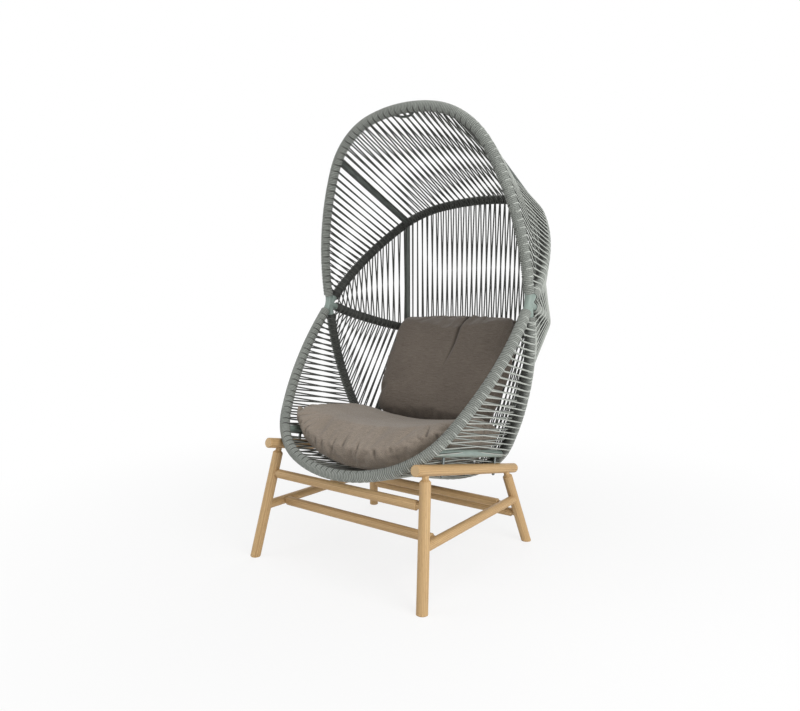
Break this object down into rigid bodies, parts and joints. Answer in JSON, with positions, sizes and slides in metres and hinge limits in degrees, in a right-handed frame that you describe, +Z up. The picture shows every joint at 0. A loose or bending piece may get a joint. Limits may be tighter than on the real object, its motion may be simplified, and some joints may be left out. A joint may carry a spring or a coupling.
{
  "type": "hooded lounge chair",
  "caption": "Hooded lounge chair: bent tube arches wound and strung with rope, a turned teak base and two loose cushions.",
  "frame": {"origin": "on the floor, under the middle of the bounding box", "axes": "+Z up; the sitter faces -Y; the chair is the same on both sides of the plane x = 0"},
  "size_m": [0.892, 0.9543, 1.5297],
  "materials": {
    "teak": "oiled teak",
    "frame": "matt powder coat",
    "rope": "round outdoor rope",
    "cover": "woven outdoor fabric",
    "steel": "satin stainless steel"
  },
  "bodies": {
    "chair": {"leg_front_left": "teak", "leg_front_right": "teak", "leg_rear_left": "teak", "leg_rear_right": "teak", "side_rail_left": "teak", "side_rail_right": "teak", "side_stretcher_left": "teak", "side_stretcher_right": "teak", "front_rail_upper": "teak", "front_rail_lower": "teak", "rear_rail_upper": "teak", "rear_rail_lower": "teak", "shell_studs": "steel", "stud_spacers": "steel", "stud_washers": "steel", "cap_nuts": "steel", "hood_rim_tube": "frame", "crown_tube": "frame", "lumbar_tube": "frame", "seat_rear_tube": "frame", "seat_rim_tube": "frame", "pivot_joint_left": "frame", "pivot_joint_right": "frame", "hood_stay_left": "frame", "hood_stay_right": "frame", "back_stay_left": "frame", "back_stay_right": "frame", "lumbar_stay_left": "frame", "lumbar_stay_right": "frame", "seat_tube_left": "frame", "seat_tube_right": "frame", "hood_loop": "frame", "hood_rim_wrap": "rope", "crown_wrap": "rope", "lumbar_wrap": "rope", "seat_rear_wrap": "rope", "seat_rim_wrap": "rope", "hood_strands_outer": "rope", "hood_strands_inner": "rope", "back_strands_outer": "rope", "back_strands_inner": "rope", "lumbar_strands_outer": "rope", "lumbar_strands_inner": "rope", "seat_strands_outer": "rope", "seat_strands_inner": "rope"},
    "seat_pad": {"seat_cushion": "cover"},
    "back_pad": {"back_cushion": "cover"}
  },
  "joints": [
    {"name": "seat_pad_lift", "type": "slide", "parent": "chair", "child": "seat_pad", "axis": [0, -0.9063, 0.4226], "range_m": [0, 0.25]},
    {"name": "back_pad_lift", "type": "slide", "parent": "chair", "child": "back_pad", "axis": [0, -0.6428, 0.766], "range_m": [0, 0.3]}
  ]
}
